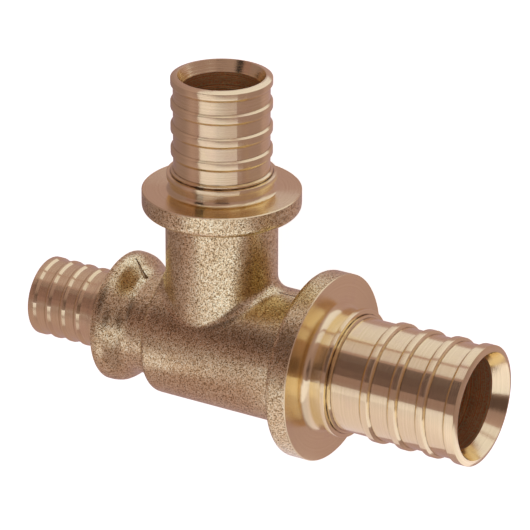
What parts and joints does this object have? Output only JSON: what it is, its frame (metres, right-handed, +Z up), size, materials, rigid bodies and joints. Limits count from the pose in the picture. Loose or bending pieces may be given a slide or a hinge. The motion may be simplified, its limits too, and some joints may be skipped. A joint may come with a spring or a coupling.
{
  "type": "reducing tee",
  "caption": "Metal pipe tee with ribbed spigots of different sizes, each with a collar, for pipe held on by pressed sleeves.",
  "frame": {"origin": "crossing of the two centre lines, run and branch", "axes": "+X along the run towards the large spigot, +Y along the branch, +Z up; the tee lies on its side with both centre lines level"},
  "size_m": [0.0847, 0.0632, 0.0316],
  "materials": {
    "brass": "granular cast body, bright turned spigots"
  },
  "bodies": {
    "root": {"tee_body": "brass"}
  },
  "joints": []
}
